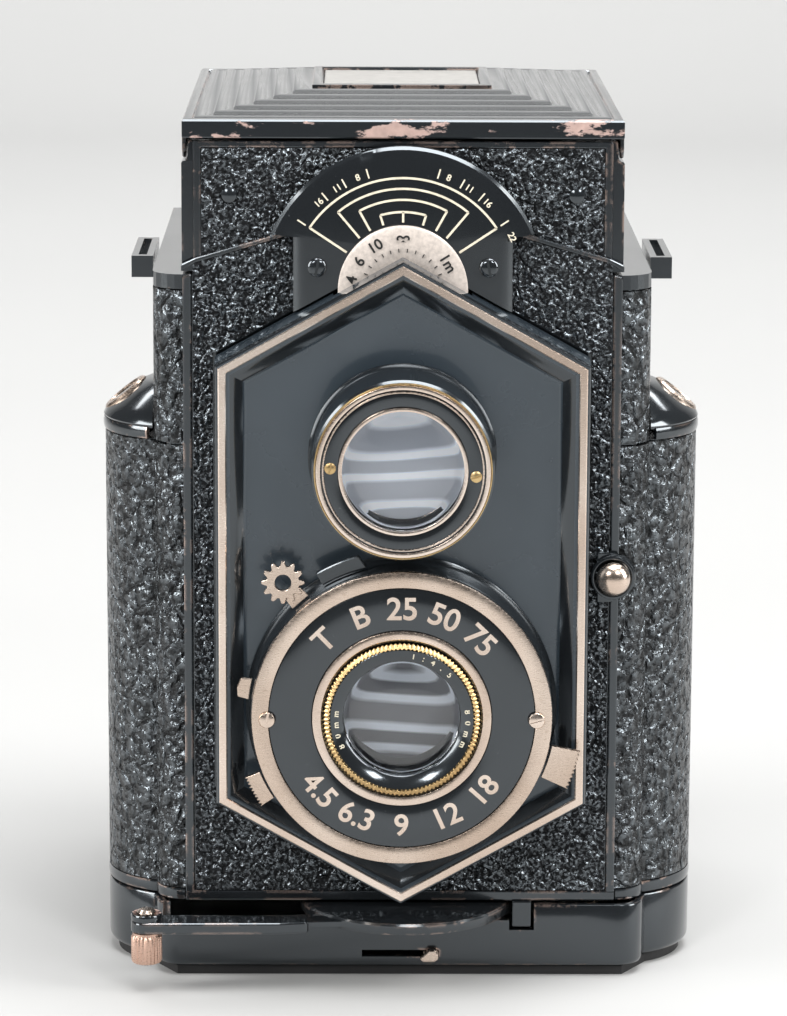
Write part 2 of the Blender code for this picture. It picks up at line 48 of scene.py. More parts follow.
TOWER = (35.4, 19.0)            # x and y of the right spool tower's axis
PIVOT, KNOB = (1.0, 6.0), (-42.3, -9.0)              # x and y of the focusing lever's ends
SIDES = (("left", -1), ("right", 1))


# ---- materials

BLUISH = (0.82, 0.92, 1.0, 1.0)     # cool tint of the reflections in black paint and leather


class Shader:
    """A small helper that builds one node material around a Principled shader."""

    def __init__(self, name, colour, roughness, metallic=0.0, **sockets):
        self.material = bpy.data.materials.new(name)
        self.material.use_nodes = True
        self.tree = self.material.node_tree
        self.principled = self.tree.nodes["Principled BSDF"]
        self.set("Base Color", (*colour, 1.0))
        self.set("Roughness", roughness)
        self.set("Metallic", metallic)
        for socket, value in sockets.items():
            self.set(socket.replace("_", " "), value)
        self.height = None
        self.place = self.node("ShaderNodeTexCoord").outputs["Object"]

    def set(self, socket, value):
        self.principled.inputs[socket].default_value = value

    def node(self, kind, sockets=None, **values):
        made = self.tree.nodes.new(kind)
        for key, value in values.items():
            setattr(made, key, value)
        for socket, value in (sockets or {}).items():
            made.inputs[socket].default_value = value
        return made

    def link(self, source, target):
        self.tree.links.new(source, target)

    def noise(self, scale, detail=4.0, rough=0.55, stretch=None):
        made = self.node("ShaderNodeTexNoise", {"Scale": scale, "Detail": detail, "Roughness": rough})
        source = self.place
        if stretch:
            mapping = self.node("ShaderNodeMapping", {"Scale": stretch})
            self.link(self.place, mapping.inputs["Vector"])
            source = mapping.outputs["Vector"]
        self.link(source, made.inputs["Vector"])
        return made.outputs["Fac"]

    def cells(self, scale, feature="F1", warp=0.0, warp_scale=300.0):
        made = self.node("ShaderNodeTexVoronoi", {"Scale": scale}, feature=feature)
        source = self.place
        if warp:
            wander = self.node("ShaderNodeTexNoise", {"Scale": warp_scale})
            self.link(self.place, wander.inputs["Vector"])
            mix = self.node("ShaderNodeVectorMath", {1: (warp, warp, warp)}, operation="MULTIPLY_ADD")
            self.link(wander.outputs["Color"], mix.inputs[0])
            self.link(self.place, mix.inputs[2])
            source = mix.outputs["Vector"]
        self.link(source, made.inputs["Vector"])
        return made.outputs["Distance"]

    def ramp(self, source, stops):
        made = self.node("ShaderNodeValToRGB")
        ramp = made.color_ramp
        while len(ramp.elements) < len(stops):
            ramp.elements.new(0.5)
        for element, (place, value) in zip(ramp.elements, stops):
            element.position = place
            colour = value if isinstance(value, tuple) else (value, value, value)
            element.color = (*colour, 1.0)
        self.link(source, made.inputs["Fac"])
        return made.outputs["Color"]

    def math(self, operation, first, second):
        made = self.node("ShaderNodeMath", operation=operation)
        for socket, value in zip(made.inputs, (first, second)):
            if isinstance(value, (int, float)):
                socket.default_value = value
            else:
                self.link(value, socket)
        return made.outputs["Value"]

    def mix(self, factor, first, second):
        made = self.node("ShaderNodeMix", data_type="RGBA")
        for index, value in ((0, factor), (6, first), (7, second)):
            if isinstance(value, tuple):
                made.inputs[index].default_value = (*value, 1.0)
            elif isinstance(value, (int, float)):
                made.inputs[index].default_value = value
            else:
                self.link(value, made.inputs[index])
        return made.outputs[2]

    def bump(self, height, distance, strength=1.0):
        made = self.node("ShaderNodeBump", {"Distance": distance, "Strength": strength})
        self.link(height, made.inputs["Height"])
        if self.height:
            self.link(self.height, made.inputs["Normal"])
        self.height = made.outputs["Normal"]
        self.link(self.height, self.principled.inputs["Normal"])

    def edges(self, radius):
        """How strongly the surface turns within a radius: near 0 on flats, higher on edges."""
        soft = self.node("ShaderNodeBevel", {"Radius": radius}, samples=4)
        plain = self.node("ShaderNodeNewGeometry")
        dot = self.node("ShaderNodeVectorMath", operation="DOT_PRODUCT")
        self.link(soft.outputs["Normal"], dot.inputs[0])
        self.link(plain.outputs["Normal"], dot.inputs[1])
        return self.math("SUBTRACT", 1.0, dot.outputs["Value"])

    def to(self, socket, source):
        self.link(source, self.principled.inputs[socket])


def enamel(name, colour, rough, wear, tint=(0.55, 0.42, 0.35)):
    """Stoved black paint with orange peel, wipe marks and scattered chips along its edges."""
    made = Shader(name, colour, rough, 0.0, Coat_Weight=0.5, Coat_Roughness=0.06,
                  Specular_IOR_Level=0.8, Specular_Tint=BLUISH)
    smear = made.noise(60.0, 5.0)
    dust = made.noise(1300.0, 6.0, 0.75)
    made.to("Roughness", made.ramp(smear, ((0.3, rough * 0.75), (0.7, rough * 1.5))))
    base = made.mix(made.ramp(dust, ((0.66, 0.0), (0.76, 0.5))), colour, (0.2, 0.21, 0.22))
    if wear:
        rim = made.edges(0.0008)
        broken = made.noise(170.0, 8.0, 0.75)
        patch = made.noise(38.0, 2.0)
        mask = made.math("MULTIPLY", made.ramp(rim, ((0.05, 0.0), (0.16, 1.0))),
                         made.ramp(broken, ((0.6 - wear, 0.0), (0.64 - wear, 1.0))))
        mask = made.math("MULTIPLY", mask, made.ramp(patch, ((0.52 - wear, 0.0), (0.6 - wear, 1.0))))
        base = made.mix(mask, base, tint)
        made.to("Metallic", made.math("MULTIPLY", mask, 0.7))
        made.to("Coat Weight", made.math("MULTIPLY", made.math("SUBTRACT", 1.0, mask), 0.5))
    made.to("Base Color", base)
    made.bump(made.noise(420.0, 2.0), 0.00001, 0.6)
    return made.material


def leather(name, size, depth, shine, colour, fine=1700.0, glitter=((0.44, 0.02), (0.6, 1.0))):
    """Embossed leatherette: lumpy warped cells, pits between them and a glittering fine grain."""
    made = Shader(name, colour, shine, 0.0, Specular_IOR_Level=1.0, Specular_Tint=BLUISH)
    grain = made.cells(1.0 / (size * MM), "SMOOTH_F1", warp=0.0011, warp_scale=1100.0)
    seams = made.cells(1.0 / (size * MM * 1.9), "DISTANCE_TO_EDGE", warp=0.0014, warp_scale=600.0)
    middle = made.noise(fine, 2.0, 0.5)
    raised = made.math("ADD", made.ramp(grain, ((0.05, 1.0), (0.75, 0.0))),
                       made.ramp(seams, ((0.0, 0.0), (0.14, 0.7))))
    made.bump(raised, depth * MM)
    made.bump(middle, depth * MM * 0.6)
    worn = made.noise(45.0, 5.0)
    tone = made.mix(made.ramp(worn, ((0.4, 0.0), (0.75, 1.0))), colour, tuple(c * 1.8 for c in colour))
    made.to("Base Color", made.mix(made.ramp(grain, ((0.05, 0.3), (0.3, 0.0))), tone, (0.03, 0.031, 0.034)))
    made.set("IOR", 1.9)
    gloss = made.math("MULTIPLY", made.ramp(middle, glitter),
                      made.ramp(grain, ((0.2, 1.0), (0.8, 0.15))))
    made.to("Specular IOR Level", gloss)
    made.to("Roughness", made.ramp(middle, ((0.3, shine * 1.5), (0.7, shine * 0.8))))
    return made.material


def painted_reflection_bands(name, bright, dark, painted_glow):
    """Rear glass whose broad pale bands are painted reflections of a coated element, with a faint painted
    glow.
    """
    made = Shader(name, bright, 0.25)
    shape = {"Scale": 40.0, "Distortion": 2.4, "Detail": 1.5, "Detail Scale": 0.6}
    wave = made.node("ShaderNodeTexWave", shape, bands_direction="Z", wave_profile="SIN")
    made.link(made.place, wave.inputs["Vector"])
    bands = made.ramp(wave.outputs["Fac"], ((0.25, dark), (0.5, bright), (0.8, bright), (0.9, dark)))
    made.to("Base Color", bands)
    # The painted bands also drive the emission: a painted glow, though the glass is no lamp.
    made.to("Emission Color", bands)
    made.set("Emission Strength", painted_glow)
    return made.material


def plated(name, colour, rough, stain=(0.3, 0.22, 0.15), brushed=None, amount=0.35):
    """Plated metal with fine scratches, tarnish spots and darker cloudy patches painted in as uneven
    reflection.
    """
    made = Shader(name, colour, rough, 1.0)
    scratch = made.noise(1500.0, 3.0, 0.6, brushed or (1.0, 1.0, 6.0))
    spots = made.noise(700.0, 6.0, 0.65)
    # Darker cloudy patches in the colour: painted reflection, standing in for the uneven mirror image in the
    # metal.
    reflection_cloud = made.noise(32.0, 3.0)
    mask = made.math("MULTIPLY", made.ramp(spots, ((0.58, 0.0), (0.72, 1.0))), amount)
    painted_reflection_tone = made.mix(made.ramp(reflection_cloud, ((0.38, 0.0), (0.6, 1.0))), colour,
                     tuple(c * k for c, k in zip(colour, (0.76, 0.71, 0.67))))
    made.to("Base Color", made.mix(mask, painted_reflection_tone, stain))
    made.to("Roughness", made.ramp(scratch, ((0.3, rough * 0.7), (0.7, rough * 1.5))))
    made.bump(scratch, 0.000008, 0.6)
    return made.material


def glass(name, colour, rough=0.01):
    made = Shader(name, colour, rough, 0.0, Transmission_Weight=1.0, IOR=1.6)
    dust = made.noise(1800.0, 5.0, 0.7)
    made.to("Roughness", made.ramp(dust, ((0.62, rough), (0.85, rough + 0.08))))
    made.bump(made.noise(40.0, 1.0), 0.00001, 0.1)
    return made.material


def plain(name, colour, rough, metallic=0.0, grain=900.0):
    """Matt paint, ink or glass ground dull, with a little unevenness."""
    made = Shader(name, colour, rough, metallic)
    spots = made.noise(grain, 5.0, 0.6)
    made.to("Base Color", made.mix(made.ramp(spots, ((0.35, 0.0), (0.75, 1.0))), colour,
                                   tuple(c * 0.7 for c in colour)))
    made.bump(spots, 0.00002, 0.4)
    return made.material


def chipped(name, colour, tint):
    """Black paint rubbed through to the metal in long uneven patches."""
    made = Shader(name, colour, 0.14, 0.0, Coat_Weight=0.5, Coat_Roughness=0.06,
                  Specular_IOR_Level=0.8, Specular_Tint=BLUISH)
    patch = made.noise(150.0, 7.0, 0.68, (0.45, 1.0, 1.1))
    mask = made.ramp(patch, ((0.55, 0.0), (0.575, 1.0)))
    stain = made.mix(made.noise(700.0, 4.0), tint, tuple(c * 0.45 for c in tint))
    made.to("Base Color", made.mix(mask, colour, stain))
    made.to("Roughness", made.math("ADD", made.math("MULTIPLY", mask, 0.3), 0.14))
    made.to("Coat Weight", made.math("MULTIPLY", made.math("SUBTRACT", 1.0, mask), 0.5))
    made.bump(mask, -0.00003, 0.8)
    return made.material


BLACK = (0.0085, 0.0098, 0.0112)
ENAMEL_CHIPPED = chipped("enamel_chipped", BLACK, (0.55, 0.38, 0.33))
ENAMEL = enamel("enamel_gloss", BLACK, 0.13, 0.05)
ENAMEL_WORN = enamel("enamel_worn", BLACK, 0.14, 0.1, (0.6, 0.44, 0.37))
ENAMEL_CLEAN = enamel("enamel_clean", BLACK, 0.14, 0.0)
PANEL_PAINT = enamel("panel_paint", (0.021, 0.029, 0.037), 0.24, 0.0)
MATT = plain("matt_black", (0.012, 0.012, 0.013), 0.62)
FRONT_HIDE = leather("front_hide", 1.15, 0.32, 0.15, (0.008, 0.0082, 0.0088))
TOWER_HIDE = leather("tower_hide", 1.9, 0.7, 0.2, (0.013, 0.013, 0.0132), 950.0, ((0.38, 0.12), (0.62, 1.0)))
NICKEL = plated("nickel", (0.74, 0.62, 0.53), 0.24)
NICKEL_BRIGHT = plated("nickel_bright", (0.86, 0.74, 0.65), 0.2, amount=0.2)
GOLD = plated("worn_brass", (0.66, 0.48, 0.24), 0.3, (0.2, 0.12, 0.05))
COPPER = plated("coppery_nickel", (0.68, 0.47, 0.38), 0.3)
DIAL_METAL = plain("dial_metal", (0.72, 0.64, 0.58), 0.35, 0.35, 1500.0)
STEEL = plated("steel", (0.5, 0.5, 0.5), 0.35)
CREAM = plain("cream_ink", (0.72, 0.66, 0.52), 0.6)
INK = plain("black_ink", (0.01, 0.01, 0.01), 0.5)
# Painted reflection bands and painted glow for the rear glass of the finder lens and of the taking lens.
FINDER_PAINTED_REFLECTION = painted_reflection_bands("finder_painted_reflection", (0.95, 0.97, 1.0), (0.4, 0.42, 0.46), 0.3)
TAKING_PAINTED_REFLECTION = painted_reflection_bands("taking_painted_reflection", (0.85, 0.88, 0.92), (0.1, 0.1, 0.11), 0.12)
LENS = glass("lens_glass", (0.93, 0.96, 1.0))
GROUND = plain("ground_glass", (0.4, 0.43, 0.41), 0.6, grain=6000.0)
SILVER = plated("mirror_silver", (0.9, 0.9, 0.9), 0.03, amount=0.1)
PALE_PLATE = plain("lid_inlay", (0.28, 0.27, 0.255), 0.35, 0.0, 500.0)
SPOOL = plain("spool_wood", (0.25, 0.14, 0.07), 0.55, grain=300.0)

CAD_LOOKS = {
    ENAMEL: "tower_cap_left tower_cap_right strap_lug_left strap_lug_right body_shell rear_cover",
    ENAMEL_WORN: "hood_lid base_tray hood_housing",
    ENAMEL_CLEAN: "shutter_face viewing_barrel shutter_housing release_plate focus_lever dof_plate",
    PANEL_PAINT: "lens_panel",
    MATT: "taking_chamber mirror_carrier screen_frame light_collar pressure_plate magnifier_frame "
          "counter_dial_right bottom_plate side_flap_left side_flap_right front_flap",
    FRONT_HIDE: "front_leather hood_leather",
    TOWER_HIDE: "side_leather_left side_leather_right",
    NICKEL: "panel_trim viewing_ring face_ring face_screw_left face_screw_right distance_disc "
            "speed_lever cocking_lever release_lever aperture_lever release_button latch_slider "
            "focus_knob window_ring_left window_ring_right tripod_bush wind_knob",
    GOLD: "taking_mount",
    STEEL: "film_gate film_roller_left film_roller_right shutter_blades",
    LENS: "viewing_lens taking_lens magnifier_lens",
    GROUND: "focusing_screen",
    SILVER: "mirror",
    SPOOL: "take_up_spool supply_spool",
}
BEVELS = {
    0.5: "body_shell rear_cover hood_lid",
    0.35: "base_tray hood_housing tower_cap_left tower_cap_right lens_panel strap_lug_left "
          "strap_lug_right focus_lever",
    0.2: "dof_plate release_plate front_leather hood_leather speed_lever cocking_lever "
         "release_lever aperture_lever latch_slider",
    0.15: "panel_trim face_ring viewing_ring",
}


def soften(made, width, segments=2, angle=35):
    """Round the edges that turn by more than an angle, by a bevel of a width in mm."""
    step = made.modifiers.new("soft_edges", "BEVEL")
    step.width = width * MM
    step.segments = segments
    step.limit_method = "ANGLE"
    step.angle_limit = radians(angle)
    return made


for look, names in CAD_LOOKS.items():
    for node in names.split():
        shell = NODES[node].data.materials
        shell.clear()
        shell.append(look)
for width, names in BEVELS.items():
    for node in names.split():
        soften(NODES[node], width, angle=40)


# ---- geometry helpers

def place(x, y, z):
    """A point given in the camera's own millimetres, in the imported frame's metres."""
    return Vector((x, y + FRONT_Y, z)) * MM


def solid(name, shape):
    """An object made from a bmesh in camera millimetres, which is used up."""
    bmesh.ops.recalc_face_normals(shape, faces=shape.faces)
    for vert in shape.verts:
        vert.co = place(*vert.co)
    mesh = bpy.data.meshes.new(name)
    shape.to_mesh(mesh)
    shape.free()
    made = bpy.data.objects.new(name, mesh)
    bpy.context.scene.collection.objects.link(made)
    return made


def piece(name, shape, look, body, smooth=True, angle=35):
    """A finished piece that rides on a body; smooth shading breaks at sharper edges than angle."""
    made = solid(name, shape)
    if smooth:
        made.data.shade_smooth()
        made.data.set_sharp_from_angle(angle=radians(angle))
    made.data.materials.append(look)
    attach(made, body)
    return made


def flat(name, shape, look, body, width, segments=2):
    """A flat-shaded piece whose edges are softened by a small bevel."""
    return soften(piece(name, shape, look, body, smooth=False), width, segments)


def carve(made, shape):
    """Cut a bmesh out of a piece."""
    cutter = solid("cutter", shape)
    step = made.modifiers.new("carve", "BOOLEAN")
    step.operation = "DIFFERENCE"
    step.object = cutter
    bpy.context.view_layer.update()
    with bpy.context.temp_override(object=made, active_object=made, selected_objects=[made]):
        bpy.ops.object.modifier_apply(modifier="carve")
    bpy.data.objects.remove(cutter, do_unlink=True)
    return made


def skin(rings, closed=False, caps=True, shape=None):
    """Faces between equally long rings of points, in a new shape or added to one."""
    shape = shape or bmesh.new()
    rows = [[shape.verts.new(point) for point in ring] for ring in rings]
    pairs = list(zip(rows, rows[1:]))
    if closed:
        pairs.append((rows[-1], rows[0]))
    elif caps:
        shape.faces.new(rows[0])
        shape.faces.new(rows[-1])
    for first, second in pairs:
        for index in range(len(first)):
            follow = (index + 1) % len(first)
            shape.faces.new((first[index], first[follow], second[follow], second[index]))
    return shape


def turn(profile, centre, axis="Y", steps=96, wave=None, shape=None):
    """Revolve a closed (radius, along) profile; wave(angle) scales the radius where given."""
    shape = shape or bmesh.new()
    rows = []
    for radius, along in profile:
        ring = []
        for step in range(steps):
            angle = 2 * pi * step / steps
            reach = radius * (wave(angle, along) if wave else 1.0)
            across, up = reach * cos(angle), reach * sin(angle)
            spot = {"Y": (across, along, up), "Z": (across, up, along), "X": (along, across, up)}[axis]
            ring.append(Vector(centre) + Vector(spot))
        rows.append(ring if radius else ring[:1])
    rows = [[shape.verts.new(point) for point in ring] for ring in rows]
    for first, second in zip(rows, rows[1:] + rows[:1]):
        for step in range(steps):
            follow = (step + 1) % steps
            corners = [first[step % len(first)], first[follow % len(first)],
                       second[follow % len(second)], second[step % len(second)]]
            distinct = list(dict.fromkeys(corners))
            if len(distinct) > 2:
                shape.faces.new(distinct)
    return shape


def turned(name, profile, centre, look, body, axis="Y", steps=96, wave=None):
    return piece(name, turn(profile, centre, axis, steps, wave), look, body)


def rounded(low, high, inner, outer, edge):
    """Ring section from inner to outer radius whose front corners are rounded."""
    return [(outer, high), (outer, low + edge), (outer - edge * 0.3, low + edge * 0.3),
            (outer - edge, low), (inner + edge, low), (inner + edge * 0.3, low + edge * 0.3),
            (inner, low + edge), (inner, high)]


def polar(centre, radius, angle):
    """The point at an angle in degrees round a centre."""
    return centre[0] + radius * cos(radians(angle)), centre[1] + radius * sin(radians(angle))


def arc(centre, radius, start, end, steps):
    return [polar(centre, radius, start + (end - start) * n / steps) for n in range(steps + 1)]


def slab_y(outline, low, high, shape=None):
    """An outline in x and z, drawn out along y."""
    return skin([[(x, low, z) for x, z in outline], [(x, high, z) for x, z in outline]], shape=shape)


def slab_z(outline, low, high):
    """An outline in x and y, drawn out along z."""
    return skin([[(x, y, low) for x, y in outline], [(x, y, high) for x, y in outline]])


def heading(points, index):
    """The direction in which a line of points runs past one of them."""
    before, after = points[max(index - 1, 0)], points[min(index + 1, len(points) - 1)]
    return Vector((after[0] - before[0], after[1] - before[1])).normalized()


def stripe(points, width, low, high, shape):
    """A flat ribbon along points in x and z, between two depths."""
    left, right = [], []
    for index, (x, z) in enumerate(points):
        run = heading(points, index)
        left.append((x - run.y * width / 2, z + run.x * width / 2))
        right.append((x + run.y * width / 2, z - run.x * width / 2))
    slab_y(left + right[::-1], low, high, shape=shape)


def hexagon(offset):
    half = 30.0 + offset
    rise, fall = 16.8 / 30.0, 17.0 / 30.0
    top = 122.5 + offset * hypot(1, rise)
    bottom = 16.0 - offset * hypot(1, fall)
    return [(-half, bottom + fall * half), (0, bottom), (half, bottom + fall * half),
            (half, top - rise * half), (0, top), (-half, top - rise * half)]


def rectangle(x0, x1, y0, y1):
    return [(x0, y0), (x1, y0), (x1, y1), (x0, y1)]


def cylinder(radius, low, high, centre, axis="Y", steps=32, shape=None):
    return turn([(0, low), (radius, low), (radius, high), (0, high)], centre, axis, steps, shape=shape)


def bead(outer, inner, low, high, taper):
    """A closed ring between two outlines in x and z, whose outer wall leans in by a factor."""
    return skin([[(x, low, z) for x, z in outer], [(x * taper, high, z) for x, z in outer],
                 [(x, high, z) for x, z in inner], [(x, low, z) for x, z in inner]], closed=True)


def label(name, text, size, x, y, z, spin, look, body, thick=0.06):
    """A raised generic number that faces the front, turned by spin degrees in its plane."""
    curve = bpy.data.curves.new(name, "FONT")
    curve.body = text
    curve.size = size * MM
    curve.extrude = thick * MM
    curve.offset = size * 0.018 * MM
    curve.align_x = "CENTER"
    curve.align_y = "CENTER"
    curve.materials.append(look)
    made = bpy.data.objects.new(name, curve)
    made.matrix_world = (Matrix.Translation(place(x, y, z))
                         @ Matrix.Rotation(-radians(spin), 4, "Y")
                         @ Matrix.Rotation(radians(90), 4, "X"))
    bpy.context.scene.collection.objects.link(made)
    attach(made, body)


def screw(name, x, z, front, radius, slot_angle, look, body, height=0.6):
    """Slotted screw head: domed disc cut across by a groove."""
    head = [(0.0, front), (radius * 0.6, front + 0.05), (radius * 0.9, front + 0.2),
            (radius, front + 0.4), (radius, front + height), (0, front + height)]
    made = turned(name, head, (x, 0, z), look, body, steps=32)
    half, wide = radius * 1.2, radius * 0.14
    run = Vector(polar((0, 0), 1.0, slot_angle))
    side = Vector((-run.y, run.x))
    corners = [run * half + side * wide, run * -half + side * wide,
               run * -half - side * wide, run * half - side * wide]
    return carve(made, slab_y([(x + c.x, z + c.y) for c in corners], front - 0.2, front + 0.28))


# ---- lenses and shutter

def lens_panel():
    """Panel face with stepped edge, nickel trim, and the dark flange behind it."""
    rings = [(-4.7, -8.5), (-4.3, -8.56), (-4.0, -8.75), (-3.7, -9.0), (-1.9, -10.1), (-1.6, -10.2),
             (-1.3, -10.25), (0.25, -10.25), (0.5, -9.9), (0.62, -8.5), (0.7, -0.3), (-0.4, -0.3),
             (-0.4, -7.6)]
    shape = skin([[(x, y, z) for x, z in hexagon(offset)] for offset, y in rings])
    made = piece("panel_shell", shape, PANEL_PAINT, "focusing_panel", angle=25)
    made.data.materials.append(ENAMEL_CLEAN)
    bevel_front, bevel_back = -10.15, -8.8
    for face in made.data.polygons:
        if bevel_front < face.center.y / MM - FRONT_Y < bevel_back:
            face.material_index = 1
    holes = cylinder(12.8, -20, 5, (0, 0, VIEWING_Z), steps=64)
    cylinder(19.9, -20, 5, (0, 0, TAKING_Z), steps=64, shape=holes)
    cylinder(11.4, -5.2, 1, (0, 0, DISC_Z), steps=64, shape=holes)
    carve(made, holes)
    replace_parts(made, "lens_panel")

    rings = [(-1.35, -10.4), (-1.3, -10.68), (-1.15, -10.8), (-0.15, -10.8), (0.0, -10.68), (0.05, -10.4)]
    trim = skin([[(x, y, z) for x, z in hexagon(offset)] for offset, y in rings], closed=True)
    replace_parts(piece("trim_rim", trim, NICKEL_BRIGHT, "focusing_panel"), "panel_trim")


def viewing_lens():
    """Barrel of the finder lens with its rings, screws and glass."""
    body, centre = "focusing_panel", (0, 0, VIEWING_Z)
    barrel = [(10.1, -21.4), (13.6, -21.4), (14.3, -21.3), (14.7, -20.9), (14.7, -10.4), (14.95, -9.4),
              (15.4, -8.9), (12.5, -8.9), (12.5, 3.0), (10.4, 3.0), (10.4, -19.0), (10.1, -19.4)]
    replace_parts(turned("finder_barrel", barrel, centre, ENAMEL_CLEAN, body), "viewing_barrel")
    rings = (("finder_rim", 13.3, 14.05, -22.35, NICKEL_BRIGHT), ("finder_edge", 14.1, 14.35, -22.1, GOLD),
             ("finder_thin_ring", 12.75, 13.05, -22.3, NICKEL),
             ("finder_inner_ring", 9.8, 10.45, -22.4, NICKEL_BRIGHT))
    for name, inner, outer, front, look in rings:
        made = turned(name, rounded(front, -21.5, inner, outer, 0.12), centre, look, body)
        if name == "finder_rim":
            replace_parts(made, "viewing_ring")
    turned("finder_annulus", rounded(-22.05, -21.45, 10.5, 13.3, 0.1), centre, ENAMEL_CLEAN, body)
    for word, x, z, slot_angle in (("left", -11.7, 91.5, 75), ("right", 11.7, 90.2, 20)):
        screw(f"finder_screw_{word}", x, z, -22.35, 1.0, slot_angle, GOLD, body)
    element("finder_glass", 9.9, -20.9, 1.7, 4.6, centre, "viewing_lens", -15.5, 8.8, FINDER_PAINTED_REFLECTION)


def element(name, radius, front, bulge, thick, centre, node, iris_y, iris_r, painted_rear_look):
    """Front glass with a domed face, a second element behind, and a dark ring between."""
    body = "focusing_panel"
    face = [(radius * sin(radians(a)), front + bulge * (1 - cos(radians(a))))
            for a in range(0, 91, 10)]
    back = [(radius, front + thick)]
    back += [(radius * s, front + thick - 0.9 * (1 - s * s)) for s in (0.8, 0.6, 0.4, 0.2, 0.0)]
    made = turned(name, face + back, centre, LENS, body, steps=72)
    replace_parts(made, node)
    cone = [(radius + 0.3, front + thick + 0.3), (iris_r, iris_y + 3.0), (iris_r, iris_y + 3.6),
            (radius + 0.3, iris_y + 3.6)]
    turned(f"{name}_cell", cone, centre, MATT, body, steps=72)
    inner = iris_r + 0.9
    rear = [(0, iris_y + 4.2), (inner * 0.6, iris_y + 4.5), (inner, iris_y + 5.2), (inner, iris_y + 6.6),
            (0, iris_y + 6.2)]
    # The rear element carries a painted reflection with a faint painted glow.
    turned(f"{name}_rear", rear, centre, painted_rear_look, body, steps=72)


def shutter():
    """Shutter drum with its printed dial, rims, screws, knurled lens mount and glasses."""
    body, centre = "focusing_panel", (0, 0, TAKING_Z)
    housing = [(15.0, -16.2), (24.0, -16.2), (24.5, -16.0), (24.7, -15.6), (24.7, -10.2), (25.3, -9.2),
               (25.6, -8.9), (19.6, -8.9), (19.6, 2.0), (15.0, 2.0)]
    drum = turned("shutter_drum", housing, centre, ENAMEL_CLEAN, body, steps=128)
    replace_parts(drum, "shutter_housing")
    rim = rounded(-17.1, -16.3, 21.8, 24.5, 0.18)
    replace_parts(turned("shutter_rim", rim, centre, NICKEL, body, steps=160), "face_ring")
    dial = rounded(-16.9, -16.3, 14.75, 21.7, 0.08)
    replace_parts(turned("shutter_dial", dial, centre, ENAMEL_CLEAN, body, steps=160), "shutter_face")
    turned("shutter_inner_rim", rounded(-17.15, -16.3, 13.2, 14.65, 0.15), centre, NICKEL_BRIGHT, body)
    step = [(12.8, -16.3), (12.8, -16.75), (13.15, -16.95), (13.15, -16.3)]
    turned("shutter_step", step, centre, ENAMEL_CLEAN, body)

    def knurl(angle, along):
        return 1.0 + 0.01 * cos(110 * angle)

    grip = [(12.6, -17.0), (12.65, -17.7), (12.4, -17.95), (11.95, -18.15), (11.8, -17.95), (11.8, -17.0)]
    turned("lens_knurl", grip, centre, GOLD, body, steps=720, wave=knurl)
    bezel = [(11.75, -17.2), (11.75, -17.8), (11.65, -17.85), (9.75, -17.2), (9.6, -17.0), (9.6, -5.0),
             (12.7, -5.0), (12.7, -16.1), (11.75, -16.1)]
    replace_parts(turned("lens_bezel", bezel, centre, ENAMEL_CLEAN, body), "taking_mount")
    element("taking_glass", 9.5, -16.6, 1.5, 4.6, centre, "taking_lens", -11.0, 8.3, TAKING_PAINTED_REFLECTION)
    for word, x, slot_angle in (("left", -22.0, 80), ("right", 22.0, 15)):
        made = screw(f"rim_screw_{word}", x, 48.8, -17.75, 1.35, slot_angle, NICKEL_BRIGHT, body)
        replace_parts(made, f"face_screw_{word}")

    ring_text("speed", ("T", "B", "25", "50", "75"), 5.2, 18.15, -16.93, 90, -22.0, NICKEL_BRIGHT)
    ring_text("stop", ("4.5", "6.3", "9", "12", "18"), 5.0, 18.15, -16.93, 270, 24.0, NICKEL_BRIGHT)
    ring_text("ratio", tuple("1:4.5"), 1.35, 10.75, -17.62, 62, -9.0, CREAM)
    ring_text("focal", tuple("80mm"), 1.35, 10.75, -17.62, -8, -10.0, CREAM)
    ring_text("focal_again", tuple("80mm"), 1.35, 10.75, -17.62, 190, -10.0, CREAM)


def ring_text(name, words, size, radius, front, middle, step, look):
    """Generic figures spaced round the taking lens; the lower arc reads from its inside."""
    for index, text in enumerate(words):
        angle = middle + step * (index - (len(words) - 1) / 2)
        spin = angle - 270 if step > 0 else angle - 90
        x, z = polar(TAKING, radius, angle)
        label(f"{name}_{index}", text, size, x, front, z, spin, look, "focusing_panel")


